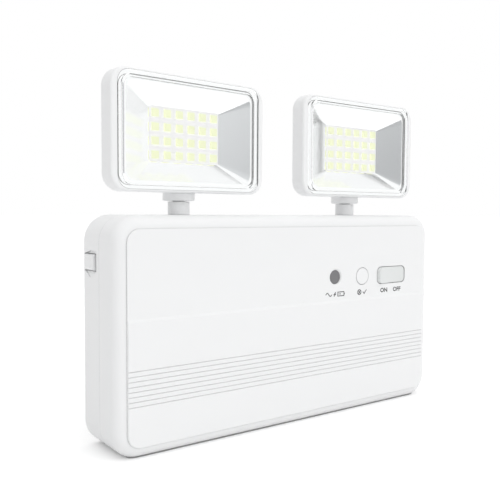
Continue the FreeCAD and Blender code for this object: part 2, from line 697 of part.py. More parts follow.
def rocker_switch():
    """Switch body behind the rocker, with an ear at each end of the pivot."""
    ear_gap = ROCKER_HEIGHT / 2 + FIT_GAP
    ear_r = TRUNNION_R + TRUNNION_EAR_WALL
    half_z = ear_gap + TRUNNION_LENGTH
    swing_room = ROCKER_LENGTH / 2 * math.sin(math.radians(2 * ROCKER_HALF_SWING))
    front = ROCKER_PIVOT_Y + ROCKER_BACK + swing_room
    half_x = ROCKER_LENGTH / 2 - ROCKER_SWITCH_INSET
    body = box(ROCKER_X - half_x, ROCKER_X + half_x, front, CONTROL_BOARD_Y,
               ROCKER_Z - half_z, ROCKER_Z + half_z)
    pieces = [body]
    for level in (-1, 1):
        z0 = ROCKER_Z + level * ear_gap
        z1 = z0 + level * TRUNNION_LENGTH
        low, high = min(z0, z1), max(z0, z1)
        pieces.append(box(ROCKER_X - ear_r, ROCKER_X + ear_r, ROCKER_PIVOT_Y, front + 1, low, high))
        pieces.append(cylinder_z(ear_r, ROCKER_X, ROCKER_PIVOT_Y, low, high))
    switch = fuse_all(pieces)
    bore = cylinder_z(TRUNNION_R + RUNNING_GAP, ROCKER_X, ROCKER_PIVOT_Y,
                      ROCKER_Z - half_z - 1, ROCKER_Z + half_z + 1)
    return switch.cut(bore)


def control_board():
    half_w = CONTROL_BOARD_WIDTH / 2
    half_h = CONTROL_BOARD_HEIGHT / 2
    return box(CONTROL_BOARD_X - half_w, CONTROL_BOARD_X + half_w, CONTROL_BOARD_Y,
               CONTROL_BOARD_Y + BOARD_THICKNESS, CONTROL_Z - half_h, CONTROL_Z + half_h)


def control_board_screws():
    screws = []
    for x, z in control_post_places():
        seat = CONTROL_BOARD_Y + BOARD_THICKNESS
        head = cylinder_y(SMALL_SCREW_HEAD_R, x, z, seat, seat + SCREW_HEAD_HEIGHT)
        screws.append(round_rim(head, seat + SCREW_HEAD_HEIGHT, SCREW_HEAD_HEIGHT / 3))
    return Part.makeCompound(screws)


# ---------------------------------------------------------------- inside the case
def main_board():
    half_w = MAIN_BOARD_WIDTH / 2
    half_h = MAIN_BOARD_HEIGHT / 2
    return box(MAIN_BOARD_X - half_w, MAIN_BOARD_X + half_w, MAIN_BOARD_Y, MAIN_BOARD_Y + BOARD_THICKNESS,
               MAIN_BOARD_Z - half_h, MAIN_BOARD_Z + half_h)


def on_main_board(x, z, width, height, tall):
    """Block that stands on the front of the main board; x and z are from its centre."""
    centre_x = MAIN_BOARD_X + x
    centre_z = MAIN_BOARD_Z + z
    return box(centre_x - width / 2, centre_x + width / 2, MAIN_BOARD_Y - tall, MAIN_BOARD_Y,
               centre_z - height / 2, centre_z + height / 2)


def transformer():
    """Laminated core with a wound bobbin through it."""
    core = on_main_board(TRANSFORMER_X, TRANSFORMER_Z, CORE_WIDTH, CORE_HEIGHT, CORE_TALL)
    winding = on_main_board(TRANSFORMER_X, TRANSFORMER_Z, WINDING_WIDTH, WINDING_HEIGHT, WINDING_TALL)
    return core.fuse(winding).removeSplitter()


def relay():
    return on_main_board(0, RELAY_Z, RELAY_WIDTH, RELAY_HEIGHT, RELAY_TALL)


def capacitors():
    """Two upright electrolytic capacitors below the relay."""
    cans = []
    for side in (-1, 1):
        x = MAIN_BOARD_X + side * CAPACITOR_SPACING / 2
        z = MAIN_BOARD_Z - CAPACITOR_DROP
        can = cylinder_y(CAPACITOR_R, x, z, MAIN_BOARD_Y - CAPACITOR_TALL, MAIN_BOARD_Y)
        cans.append(round_rim(can, MAIN_BOARD_Y - CAPACITOR_TALL, CAPACITOR_EDGE_R))
    return Part.makeCompound(cans)


def terminal_block():
    """Supply terminals near the cable entry: a screw well and a wire mouth for each pole."""
    height = POLE_COUNT * POLE_PITCH
    block = on_main_board(TERMINAL_X, TERMINAL_Z, TERMINAL_WIDTH, height, TERMINAL_TALL)
    centre_x = MAIN_BOARD_X + TERMINAL_X
    front = MAIN_BOARD_Y - TERMINAL_TALL
    mouth_y = MAIN_BOARD_Y - TERMINAL_TALL / 2
    tools = []
    for i in range(POLE_COUNT):
        z = MAIN_BOARD_Z + TERMINAL_Z + (i - (POLE_COUNT - 1) / 2) * POLE_PITCH
        tools.append(cylinder_y(POLE_MOUTH / 2, centre_x, z, front - 1, front + POLE_MOUTH))
        tools.append(box(centre_x - TERMINAL_WIDTH, centre_x - POLE_MOUTH, mouth_y, mouth_y + POLE_MOUTH,
                         z - POLE_MOUTH / 2, z + POLE_MOUTH / 2))
    return cut_all(block, tools)


def battery_pack():
    """Three cells side by side in one shrink sleeve."""
    half = CELL_LENGTH / 2
    y = Y_BACK_INNER - CELL_R - FIT_GAP
    cells = []
    for i in range(CELL_COUNT):
        z = BATTERY_Z + (i - (CELL_COUNT - 1) / 2) * 2 * CELL_R
        cells.append(Part.makeCylinder(CELL_R, CELL_LENGTH, Vector(BATTERY_X - half, y, z), Vector(1, 0, 0)))
    reach = (CELL_COUNT - 1) * CELL_R
    web = CELL_R * SLEEVE_WEB_SHARE
    cells.append(box(BATTERY_X - half, BATTERY_X + half, y - web, y + web,
                     BATTERY_Z - reach, BATTERY_Z + reach))
    return fuse_all(cells)


def battery_strap():
    """Strap over the cells, screwed down at both ends."""
    top = Y_BACK_INNER - 2 * CELL_R - 2 * FIT_GAP
    foot = Y_BACK_INNER - CELL_R
    reach = CELL_COUNT * CELL_R + FIT_GAP
    x0 = BATTERY_X - STRAP_WIDTH / 2
    x1 = BATTERY_X + STRAP_WIDTH / 2
    outer = reach + STRAP_THICKNESS
    pieces = [box(x0, x1, top - STRAP_THICKNESS, top, BATTERY_Z - outer, BATTERY_Z + outer)]
    for level in (-1, 1):
        legs = sorted((BATTERY_Z + level * reach, BATTERY_Z + level * outer))
        pieces.append(box(x0, x1, top - STRAP_THICKNESS, foot, legs[0], legs[1]))
        ears = sorted((BATTERY_Z + level * reach, BATTERY_Z + level * (reach + STRAP_EAR)))
        pieces.append(box(x0, x1, foot - STRAP_THICKNESS, foot, ears[0], ears[1]))
    return fuse_all(pieces)


def strap_screws():
    screws = []
    for x, z in strap_post_places():
        seat = Y_BACK_INNER - CELL_R - STRAP_THICKNESS
        head = cylinder_y(SMALL_SCREW_HEAD_R, x, z, seat - SCREW_HEAD_HEIGHT, seat)
        screws.append(round_rim(head, seat - SCREW_HEAD_HEIGHT, SCREW_HEAD_HEIGHT / 3))
    return Part.makeCompound(screws)


# ---------------------------------------------------------------- posts and swivels
# These are made about the vertical axis x = 0, y = 0 and put in place afterwards.
def post():
    """Hollow post: spigot in the case, plain shoulder, neck and ball."""
    bottom = CASE_HEIGHT - SPIGOT_LENGTH
    shoulder = CASE_HEIGHT + SEAT_GAP
    top = Z_COLLAR - POST_TOP_GAP
    groove_top = CASE_HEIGHT - BOSS_LENGTH - SEAT_GAP - WASHER_THICKNESS - SEAT_GAP
    groove_bottom = groove_top - CLIP_THICKNESS
    groove_r = SPIGOT_R - CLIP_GROOVE_DEPTH
    neck_angle = -math.degrees(math.acos(NECK_R / BALL_R))
    crown_r = WIRE_BORE_R + WIRE_DUCT_MARGIN
    bore_angle = math.degrees(math.acos(crown_r / BALL_R))
    neck_z = Z_BALL + BALL_R * math.sin(math.radians(neck_angle))
    crown_z = Z_BALL + BALL_R * math.sin(math.radians(bore_angle))
    edges = profile_lines([(WIRE_BORE_R, bottom), (SPIGOT_R, bottom), (SPIGOT_R, groove_bottom),
                           (groove_r, groove_bottom), (groove_r, groove_top), (SPIGOT_R, groove_top),
                           (SPIGOT_R, shoulder), (POST_R, shoulder), (POST_R, top - POST_CHAMFER),
                           (POST_R - POST_CHAMFER, top), (NECK_R, top), (NECK_R, neck_z)])
    edges.append(profile_arc(BALL_R, Z_BALL, neck_angle, bore_angle))
    edges += profile_lines([(crown_r, crown_z), (WIRE_BORE_R, crown_z), (WIRE_BORE_R, bottom)])
    return revolve(edges, 0, 0)


def post_washer():
    """Friction washer between the case's boss and the clip."""
    top = CASE_HEIGHT - BOSS_LENGTH - SEAT_GAP
    ring = cylinder_z(CLIP_R, 0, 0, top - WASHER_THICKNESS, top)
    return ring.cut(cylinder_z(SPIGOT_R + SEAT_GAP, 0, 0, top - 2 * WASHER_THICKNESS, top + 1))


def post_clip():
    """Retaining clip in the groove of the post, open at the front."""
    top = CASE_HEIGHT - BOSS_LENGTH - SEAT_GAP - WASHER_THICKNESS - SEAT_GAP
    bottom = top - CLIP_THICKNESS
    groove_r = SPIGOT_R - CLIP_GROOVE_DEPTH
    edge_gap = SEAT_GAP / 2
    ring = cylinder_z(CLIP_R, 0, 0, bottom + edge_gap, top - edge_gap)
    mouth = box(-CLIP_MOUTH_HALF, CLIP_MOUTH_HALF, -2 * CLIP_R, 0, bottom - 1, top + 1)
    return ring.cut(cylinder_z(groove_r + edge_gap, 0, 0, bottom - 1, top + 1)).cut(mouth)


def socket_collar():
    """Screwed ring that holds the ball from below; its mouth leaves room to tilt."""
    lip_r = COLLAR_R - COLLAR_LIP
    seat_angle = -math.degrees(math.atan2(BALL_HEIGHT - COLLAR_FLARE, lip_r - COLLAR_FLARE))
    seat_r = SOCKET_R * math.cos(math.radians(seat_angle))
    seat_z = Z_BALL + SOCKET_R * math.sin(math.radians(seat_angle))
    inner_top = Z_BALL - SEAT_GAP
    top_angle = math.degrees(math.asin(-SEAT_GAP / SOCKET_R))
    top_r = SOCKET_R * math.cos(math.radians(top_angle))
    edges = profile_lines([(seat_r, seat_z), (lip_r, Z_COLLAR), (COLLAR_R - COLLAR_CHAMFER, Z_COLLAR),
                           (COLLAR_R, Z_COLLAR + COLLAR_CHAMFER), (COLLAR_R, Z_HEAD),
                           (COLLAR_SPIGOT_R, Z_HEAD), (COLLAR_SPIGOT_R, inner_top), (top_r, inner_top)])
    edges.append(profile_arc(SOCKET_R, Z_BALL, top_angle, seat_angle))
    return revolve(edges, 0, 0)


# ---------------------------------------------------------------- lamp head
def swivel_boss():
    """Domed boss under the housing that holds the ball."""
    roof = Z_BALL + SOCKET_R + BOSS_TOP_WALL
    boss = cylinder_z(COLLAR_R, 0, 0, Z_HEAD, roof)
    crown = [edge for edge in boss.Edges if edge.Closed and edge.BoundBox.ZMin > roof - TOLERANCE]
    return boss.makeFillet(BOSS_DOME_R, crown)


def head_housing():
    """Moulded housing: rounded rim, tapered pan behind it and the boss for the swivel."""
    z = HEAD_CENTRE_Z
    rim = rounded_block(HEAD_WIDTH, HEAD_HEIGHT, HEAD_CORNER_R, -RIM_FRONT, RIM_BACK, 0.0, z)
    rim = round_rim(rim, -RIM_FRONT, RIM_FRONT_R)
    rim = round_rim(rim, RIM_BACK, RIM_BACK_R)
    rim_floor = RIM_BACK - BACK_WALL
    pan_back = RIM_BACK + PAN_DEPTH
    pan = frustum(PAN_WIDTH, PAN_HEIGHT, PAN_CORNER_R, rim_floor,
                  PAN_WIDTH - 2 * PAN_TAPER, PAN_HEIGHT - 2 * PAN_TAPER, PAN_CORNER_R, pan_back, z)
    body = fuse_all([rim, pan])

    opening_w = HEAD_WIDTH - 2 * RIM_SIDE
    opening_h = HEAD_HEIGHT - 2 * RIM_TOP
    cavity = rounded_block(opening_w, opening_h, LENS_CORNER_R + LENS_GAP,
                           -RIM_FRONT - 1, rim_floor, 0.0, z)
    inner_r = PAN_CORNER_R - PAN_WALL
    taper = 2 * (PAN_TAPER + PAN_WALL)
    pan_cavity = frustum(PAN_WIDTH - 4 * PAN_WALL, PAN_HEIGHT - 4 * PAN_WALL, inner_r, rim_floor - 1,
                         PAN_WIDTH - taper, PAN_HEIGHT - taper, inner_r, pan_back - PAN_WALL, z)
    body = body.cut(cavity)
    duct_r = WIRE_BORE_R + WIRE_DUCT_MARGIN
    duct = cylinder_z(duct_r + WIRE_DUCT_WALL, 0, 0, Z_BALL, z - PAN_HEIGHT / 2 + PAN_TAPER + PAN_WALL)
    body = fuse_all([body, swivel_boss(), duct]).cut(pan_cavity)

    ball_room = Part.makeSphere(SOCKET_R, Vector(0, 0, Z_BALL))
    ring_room = cylinder_z(COLLAR_SPIGOT_R + RUNNING_GAP, 0, 0, Z_HEAD - 1, Z_BALL)
    wire_way = cylinder_z(duct_r, 0, 0, Z_BALL, z)
    return cut_all(body, [ball_room, ring_room, wire_way])


def lens():
    """Clear stepped cover: a flange in the rim and a raised window."""
    z = HEAD_CENTRE_Z
    width = HEAD_WIDTH - 2 * RIM_SIDE - 2 * LENS_GAP
    height = HEAD_HEIGHT - 2 * RIM_TOP - 2 * LENS_GAP
    front = -RIM_FRONT
    inset = 2 * LENS_PLATEAU_INSET
    plateau_front = front - LENS_PLATEAU_RISE
    plateau_r = LENS_CORNER_R - LENS_PLATEAU_INSET / 2
    back = front + LENS_THICKNESS
    flange = rounded_block(width, height, LENS_CORNER_R, front, back, 0.0, z)
    window = rounded_block(width - inset, height - inset, plateau_r, plateau_front, back, 0.0, z)
    window = round_rim(window, plateau_front, LENS_PLATEAU_RISE / 2)
    inset += 2 * LENS_THICKNESS
    hollow = rounded_block(width - inset, height - inset, plateau_r - LENS_THICKNESS / 2,
                           plateau_front + LENS_THICKNESS, back + 1, 0.0, z)
    return flange.fuse(window).cut(hollow).removeSplitter()


def reflector():
    """Mirrored tray: a flange behind the lens and four walls down to the LED board."""
    z = HEAD_CENTRE_Z
    front = -RIM_FRONT + LENS_THICKNESS + SEAT_GAP
    back = BOARD_Y - SEAT_GAP
    wall = 2 * REFLECTOR_WALL
    flange_w = HEAD_WIDTH - 2 * RIM_SIDE - 2 * LENS_GAP
    flange_h = HEAD_HEIGHT - 2 * RIM_TOP - 2 * LENS_GAP
    flange = rounded_block(flange_w, flange_h, LENS_CORNER_R, front, front + REFLECTOR_WALL, 0.0, z)
    tray = frustum(REFLECTOR_WIDTH + wall, REFLECTOR_HEIGHT + wall, REFLECTOR_CORNER_R + REFLECTOR_WALL,
                   front, LIGHT_WIDTH + wall, LIGHT_HEIGHT + wall, LIGHT_CORNER_R + REFLECTOR_WALL, back, z)
    inside = frustum(REFLECTOR_WIDTH, REFLECTOR_HEIGHT, REFLECTOR_CORNER_R, front,
                     LIGHT_WIDTH, LIGHT_HEIGHT, LIGHT_CORNER_R, back, z)
    return flange.fuse(tray).cut(inside).removeSplitter()


def led_board():
    width = LIGHT_WIDTH + 2 * LED_BOARD_MARGIN
    height = LIGHT_HEIGHT + 2 * LED_BOARD_MARGIN
    return rounded_block(width, height, LIGHT_CORNER_R, BOARD_Y, BOARD_Y + LED_BOARD_THICKNESS,
                         0.0, HEAD_CENTRE_Z)


def led_chips():
    """Grid of square LED packages on the board."""
    chips = []
    for column in range(LED_COLUMNS):
        for row in range(LED_ROWS):
            x = (column - (LED_COLUMNS - 1) / 2) * LED_PITCH_X
            z = HEAD_CENTRE_Z + (row - (LED_ROWS - 1) / 2) * LED_PITCH_Z
            half = LED_SIZE / 2
            chips.append(box(x - half, x + half, BOARD_Y - LED_HEIGHT, BOARD_Y, z - half, z + half))
    return Part.makeCompound(chips)


# ---------------------------------------------------------------- whole part
def place_at_post(shape, side, angle):
    """Turns a piece made about the origin's axis by an angle in degrees and moves it to its post."""
    placed = shape.copy()
    placed.rotate(Vector(0, 0, 0), UP, angle)
    placed.translate(Vector(side * HEAD_SPACING / 2, POST_Y, 0))
    return placed


def main():
    os.makedirs("parts", exist_ok=True)
    fixed = {"front_cover": front_cover, "rear_shell": rear_shell, "case_screws": case_screws,
             "cable_grommet": cable_grommet, "indicator_lens": indicator_lens, "indicator_led": indicator_led,
             "test_button": test_button, "test_plunger": test_plunger, "test_switch": test_switch,
             "power_rocker": power_rocker, "rocker_switch": rocker_switch, "control_board": control_board,
             "control_board_screws": control_board_screws, "main_board": main_board,
             "transformer": transformer, "relay": relay, "capacitors": capacitors,
             "terminal_block": terminal_block, "battery_pack": battery_pack, "battery_strap": battery_strap,
             "strap_screws": strap_screws}
    for name, make in fixed.items():
        export(name, make())
    on_posts = {"post": post, "post_washer": post_washer, "post_clip": post_clip,
                "socket_collar": socket_collar, "head_housing": head_housing, "lens": lens,
                "reflector": reflector, "led_board": led_board, "led_chips": led_chips}
    for name, make in on_posts.items():
        shape = make()
        export(name + "_left", place_at_post(shape, -1, LEFT_HEAD_ANGLE))
        export(name + "_right", place_at_post(shape, 1, RIGHT_HEAD_ANGLE))


main()
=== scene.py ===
"""Looks of the twin-head emergency light: finishes, printed symbols and letters, camera, studio."""
import json
import math

import bpy
from mathutils import Euler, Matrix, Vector


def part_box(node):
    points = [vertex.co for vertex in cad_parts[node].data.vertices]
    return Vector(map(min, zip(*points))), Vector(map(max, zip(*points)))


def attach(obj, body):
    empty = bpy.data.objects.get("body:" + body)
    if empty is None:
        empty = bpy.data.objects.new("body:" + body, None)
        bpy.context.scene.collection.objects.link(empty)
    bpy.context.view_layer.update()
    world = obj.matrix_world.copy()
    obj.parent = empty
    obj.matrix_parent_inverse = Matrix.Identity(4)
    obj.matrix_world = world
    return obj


MM = 0.001
WHITE = (1, 1, 1)

# Camera: place in metres, angles in degrees, focal length and sensor in mm
CAMERA_PLACE = Vector((-0.2965, -0.3701, 0.1439))
CAMERA_HEADING = 36.27
CAMERA_DROP = 3.20
CAMERA_ROLL = 0.32
CAMERA_LENS = 48.66
CAMERA_SENSOR = 36.0
CAMERA_CLIP_START = 0.01

# Studio light: (heading from the front towards +X, elevation, inner angle, outer angle, strength)
LIGHT_BASE = 0.25
LIGHT_LOBES = (
    (0, 90, 10, 85, 1.04),
    (20, 10, 10, 70, 0.71),
)
BACKGROUND_STRENGTH = 1.0

# Floor: plain white to look at, darker to light that bounces off it, and shaded at the contact
FLOOR_SIZE = 40.0
FLOOR_BOUNCE = (0.89, 0.89, 0.89)
FLOOR_GLOW = 0.10
FLOOR_ROUGHNESS = 0.9
CONTACT_REACH = 1.2 * MM
CONTACT_SHADE = (0.15, 0.15, 0.15)

# Grey card in front of the light, which only mirrors and glass see: a painted reflection in the
# reflectors. It fades from light at the upper left to dark at the lower right.
CARD_LOW = Vector((-0.75, -1.1, 0.0))
CARD_HIGH = Vector((0.50, -1.1, 0.75))
CARD_LIGHT = (0.66, 0.67, 0.68)
CARD_DARK = (0.41, 0.42, 0.43)
CARD_SLOPE = (1.25, 0, -0.825)
CARD_FADE = (0.33, 0.75)

# Nodes given a darker copy of the white plastic, as painted shade
PAINTED_SHADE_FINISH = {"power_rocker": "white_rocker"}

# Painted light: a slight glow that brightens the LED chips, their board and the reflector tray
# behind the lens: (colour, strength)
PAINTED_GLOWS = {
    "mirror_tray": (WHITE, 0.05),
    "white_board": ((0.95, 0.92, 1.0), 0.32),
    "led_phosphor": ((0.95, 1.0, 0.62), 0.38),
}

# Painted shade in gaps and grooves
CREVICE_REACH = 0.8 * MM
CREVICE_SHADE = (0.55, 0.55, 0.55)
OPENNESS_SAMPLES = 4

# Moulded plastic: flow marks in its colour, patches in its sheen, spark texture
FLOW_SIZE = 30 * MM
FLOW_STRETCH = (1, 1, 2)
FLOW_DARK = 0.985
SHEEN_SIZE = 6 * MM
SHEEN_RANGE = 0.05
GRAIN_SIZE = 0.25 * MM
GRAIN_HEIGHT = 0.006 * MM

# Clear polycarbonate
CLEAR_TINT = (0.985, 0.99, 0.99)
CLEAR_IOR = 1.36
CLEAR_SHEEN_SIZE = 8 * MM
CLEAR_ROUGHNESS = (0.0, 0.03)
RIPPLE_SIZE = 14 * MM
RIPPLE_HEIGHT = 0.02 * MM

# Metallised plastic
MIRROR_DARK = (0.95, 0.955, 0.96)
MIRROR_LIGHT = (0.975, 0.98, 0.98)
MIRROR_TONE_SIZE = 20 * MM
MIRROR_SHEEN_SIZE = 5 * MM
MIRROR_ROUGHNESS = (0.09, 0.13)
PEEL_SIZE = 2.5 * MM
PEEL_HEIGHT = 0.006 * MM

# Plated steel
METAL_DARK = 0.85
METAL_TONE_SIZE = 1.5 * MM
METAL_SHEEN_SIZE = 0.6 * MM
METAL_SHEEN_BELOW = 0.08
METAL_SHEEN_ABOVE = 0.12
TOOL_MARK_SIZE = 0.3 * MM
TOOL_MARK_STRETCH = (1, 1, 6)
TOOL_MARK_HEIGHT = 0.01 * MM

# Circuit board
TRACK_PITCH = 9 * MM
TRACK_WIDTH = 0.06
TRACK_HEIGHT = 0.03 * MM
MASK_DARK = 0.9
MASK_SHEEN_SIZE = 3 * MM
MASK_ROUGHNESS = (0.28, 0.42)

# Printed symbols and letters on the upper field of the cover
UPPER_FIELD_BACK = 0.5 * MM
PRINT_DEPTH = 0.02 * MM
PRINT_HEIGHT = 3.3 * MM
PRINT_DROP = 11.55 * MM
STROKE = 0.60 * MM
LETTER_WEIGHT = 0.03  # in units of the font's own size
ON_SHIFT, ON_WIDTH = -7.7 * MM, 7.5 * MM
OFF_SHIFT, OFF_WIDTH = 6.6 * MM, 8.4 * MM

# Shapes of the symbols, in mm: X from the middle of their control, Z from the level of the print
WAVE_X, WAVE_HALF, WAVE_RISE, WAVE_STEPS = -6.4, 3, 1.2, 12
BOLT_X = -0.6
BOLT = ((0.9, 1.5), (-0.8, -0.1), (0.7, 0.1), (-0.9, -1.5))
BATTERY_X = 5.2
BATTERY = ((-3, -1.4), (3, -1.4), (3, 1.4), (-3, 1.4))
BATTERY_BARS = ((3.5, 0.6), (-1.8, 0.5), (-0.6, 0.5))  # X and half height of the pole and two bars
LAMP_X, LAMP_RADIUS, LAMP_CORNERS = -2.8, 1.75, 20
TICK = ((0.8, 0.1), (2.1, -1.3), (4.5, 1.5))


# ---------------------------------------------------------------- node helpers
def new_material(name):
    """Material, its node tree and its Principled shader."""
    material = bpy.data.materials.new(name)
    material.use_nodes = True
    return material, material.node_tree, material.node_tree.nodes["Principled BSDF"]


def noise(tree, size, detail=2.0, stretch=(1, 1, 1)):
    """Noise in the object's own space, with features of about the given size in metres."""
    place = tree.nodes.new("ShaderNodeTexCoord")
    mapping = tree.nodes.new("ShaderNodeMapping")
    mapping.inputs["Scale"].default_value = stretch
    texture = tree.nodes.new("ShaderNodeTexNoise")
    texture.inputs["Scale"].default_value = 1 / size
    texture.inputs["Detail"].default_value = detail
    tree.links.new(place.outputs["Object"], mapping.inputs["Vector"])
    tree.links.new(mapping.outputs["Vector"], texture.inputs["Vector"])
    return texture.outputs["Fac"]


def spread(tree, value, low, high, start=0.0, end=1.0):
    """Maps the range of a value from start to end to the range from low to high."""
    node = tree.nodes.new("ShaderNodeMapRange")
    node.inputs["From Min"].default_value = start
    node.inputs["From Max"].default_value = end
    node.inputs["To Min"].default_value = low
    node.inputs["To Max"].default_value = high
    tree.links.new(value, node.inputs["Value"])
    return node.outputs["Result"]


def shade(tree, value, dark, light):
    """Colour between dark and light, by a 0 to 1 value."""
    node = tree.nodes.new("ShaderNodeMix")
    node.data_type = "RGBA"
    node.inputs["A"].default_value = (*dark, 1)
    node.inputs["B"].default_value = (*light, 1)
    tree.links.new(value, node.inputs["Factor"])
    return node.outputs["Result"]


def along(tree, vector, direction):
    """How far a vector reaches along a fixed direction."""
    node = tree.nodes.new("ShaderNodeVectorMath")
    node.operation = "DOT_PRODUCT"
    node.inputs[1].default_value = direction
    tree.links.new(vector, node.inputs[0])
    return node.outputs["Value"]


def openness(tree, distance):
    """1 on open surfaces, and less in gaps, grooves and inside corners up to a distance wide."""
    reach = tree.nodes.new("ShaderNodeAmbientOcclusion")
    reach.samples = OPENNESS_SAMPLES
    reach.inputs["Distance"].default_value = distance
    return reach.outputs["AO"]


def painted_crevice_shade(tree, colour_socket):
    """Painted shade: darkens a colour in gaps, grooves and inside corners."""
    tone = tree.nodes.new("ShaderNodeMix")
    tone.data_type = "RGBA"
    tone.blend_type = "MULTIPLY"
    tone.inputs["Factor"].default_value = 1.0
    tree.links.new(colour_socket, tone.inputs["A"])
    painted_shade = shade(tree, openness(tree, CREVICE_REACH), CREVICE_SHADE, WHITE)
    tree.links.new(painted_shade, tone.inputs["B"])
    return tone.outputs["Result"]


def bump(tree, shader, value, height):
    """Bump of the given height in metres."""
    node = tree.nodes.new("ShaderNodeBump")
    node.inputs["Distance"].default_value = height
    tree.links.new(value, node.inputs["Height"])
    tree.links.new(node.outputs["Normal"], shader.inputs["Normal"])


def seen_directly(tree):
    """1 where the camera, a mirror or glass sees the surface, and 0 where light bounces off it."""
    rays = tree.nodes.new("ShaderNodeLightPath")
    seen = rays.outputs["Is Camera Ray"]
    for kind in ("Is Glossy Ray", "Is Transmission Ray"):
        either = tree.nodes.new("ShaderNodeMath")
        either.operation = "MAXIMUM"
        tree.links.new(seen, either.inputs[0])
        tree.links.new(rays.outputs[kind], either.inputs[1])
        seen = either.outputs["Value"]
    return seen


# ---------------------------------------------------------------- materials
def moulded_plastic(name, colour, roughness, grain=GRAIN_SIZE, grain_height=GRAIN_HEIGHT):
    """Moulded plastic: fine spark texture, faint flow marks in its colour and sheen."""
    material, tree, shader = new_material(name)
    dark = [c * FLOW_DARK for c in colour]
    tone = shade(tree, noise(tree, FLOW_SIZE, detail=4, stretch=FLOW_STRETCH), dark, colour)
    # The base colour carries painted shade in gaps and grooves
    tree.links.new(painted_crevice_shade(tree, tone), shader.inputs["Base Color"])
    sheen = spread(tree, noise(tree, SHEEN_SIZE, detail=3),
                   roughness - SHEEN_RANGE, roughness + SHEEN_RANGE)
    tree.links.new(sheen, shader.inputs["Roughness"])
    bump(tree, shader, noise(tree, grain), grain_height)
    return material


def clear_plastic(name):
    """Clear polycarbonate with a faint moulding ripple."""
    material, tree, shader = new_material(name)
    shader.inputs["Base Color"].default_value = (*CLEAR_TINT, 1)
    shader.inputs["Transmission Weight"].default_value = 1.0
    shader.inputs["IOR"].default_value = CLEAR_IOR
    sheen = spread(tree, noise(tree, CLEAR_SHEEN_SIZE), *CLEAR_ROUGHNESS)
    tree.links.new(sheen, shader.inputs["Roughness"])
    bump(tree, shader, noise(tree, RIPPLE_SIZE, detail=0), RIPPLE_HEIGHT)
    return material


def mirror_finish(name):
    """Metallised plastic: a mirror with a slight orange peel."""
    material, tree, shader = new_material(name)
    shader.inputs["Metallic"].default_value = 1.0
    tone = shade(tree, noise(tree, MIRROR_TONE_SIZE), MIRROR_DARK, MIRROR_LIGHT)
    tree.links.new(tone, shader.inputs["Base Color"])
    sheen = spread(tree, noise(tree, MIRROR_SHEEN_SIZE), *MIRROR_ROUGHNESS)
    tree.links.new(sheen, shader.inputs["Roughness"])
    bump(tree, shader, noise(tree, PEEL_SIZE), PEEL_HEIGHT)
    return material


def plated_metal(name, colour, roughness):
    """Plated steel with drawn or turned marks."""
    material, tree, shader = new_material(name)
    shader.inputs["Metallic"].default_value = 1.0
    dark = [c * METAL_DARK for c in colour]
    tone = shade(tree, noise(tree, METAL_TONE_SIZE, detail=4), dark, colour)
    tree.links.new(tone, shader.inputs["Base Color"])
    sheen = spread(tree, noise(tree, METAL_SHEEN_SIZE),
                   roughness - METAL_SHEEN_BELOW, roughness + METAL_SHEEN_ABOVE)
    tree.links.new(sheen, shader.inputs["Roughness"])
    marks = noise(tree, TOOL_MARK_SIZE, stretch=TOOL_MARK_STRETCH)
    bump(tree, shader, marks, TOOL_MARK_HEIGHT)
    return material


def circuit_board(name, mask, track):
    """Solder mask over copper tracks that run square to each other."""
    material, tree, shader = new_material(name)
    place = tree.nodes.new("ShaderNodeTexCoord")
    turn = tree.nodes.new("ShaderNodeMapping")
    turn.inputs["Rotation"].default_value = (math.pi / 2, 0, 0)
    cells = tree.nodes.new("ShaderNodeTexBrick")
    cells.inputs["Scale"].default_value = 1 / TRACK_PITCH
    cells.inputs["Mortar Size"].default_value = TRACK_WIDTH
    cells.inputs["Color1"].default_value = (*mask, 1)
    cells.inputs["Color2"].default_value = (*[c * MASK_DARK for c in mask], 1)
    cells.inputs["Mortar"].default_value = (*track, 1)
    tree.links.new(place.outputs["Object"], turn.inputs["Vector"])
    tree.links.new(turn.outputs["Vector"], cells.inputs["Vector"])
    tree.links.new(cells.outputs["Color"], shader.inputs["Base Color"])
    sheen = spread(tree, noise(tree, MASK_SHEEN_SIZE), *MASK_ROUGHNESS)
    tree.links.new(sheen, shader.inputs["Roughness"])
    bump(tree, shader, cells.outputs["Fac"], TRACK_HEIGHT)
    return material


# One finish per material slot of the record, the ink, and a darker copy of the white control
# plastic as painted shade on the rocker. Each has the function that makes it, and the values which
# that function takes after the name.
FINISHES = {
    "white_shell": (moulded_plastic, (0.90, 0.905, 0.91), 0.42),
    "white_control": (moulded_plastic, (0.90, 0.905, 0.91), 0.34, 0.5 * MM, 0.003 * MM),
    # Darker copy of the white control plastic: painted shade on the rocker
    "white_rocker": (moulded_plastic, (0.77, 0.79, 0.785), 0.36, 0.5 * MM, 0.003 * MM),
    "smoked_lens": (moulded_plastic, (0.185, 0.185, 0.19), 0.20, 1.0 * MM, 0.002 * MM),
    "clear_lens": (clear_plastic,),
    "mirror_tray": (mirror_finish,),
    "white_board": (circuit_board, (0.88, 0.87, 0.91), (0.92, 0.92, 0.94)),
    "led_phosphor": (moulded_plastic, (0.90, 0.93, 0.66), 0.45, 0.2 * MM, 0.004 * MM),
    "green_board": (circuit_board, (0.02, 0.14, 0.05), (0.04, 0.22, 0.08)),
    "screw_steel": (plated_metal, (0.62, 0.62, 0.60), 0.32),
    "black_rubber": (moulded_plastic, (0.02, 0.02, 0.02), 0.75, 0.3 * MM, 0.02 * MM),
    "laminated_core": (plated_metal, (0.20, 0.19, 0.18), 0.5),
    "black_case": (moulded_plastic, (0.025, 0.025, 0.028), 0.35),
    "can_sleeve": (moulded_plastic, (0.02, 0.03, 0.08), 0.25),
    "grey_block": (moulded_plastic, (0.35, 0.37, 0.38), 0.45),
    "cell_sleeve": (moulded_plastic, (0.05, 0.20, 0.45), 0.22),
    "nylon": (moulded_plastic, (0.72, 0.70, 0.64), 0.5),
    "print_ink": (moulded_plastic, (0.06, 0.06, 0.063), 0.5, 0.1 * MM, 0.002 * MM),
}


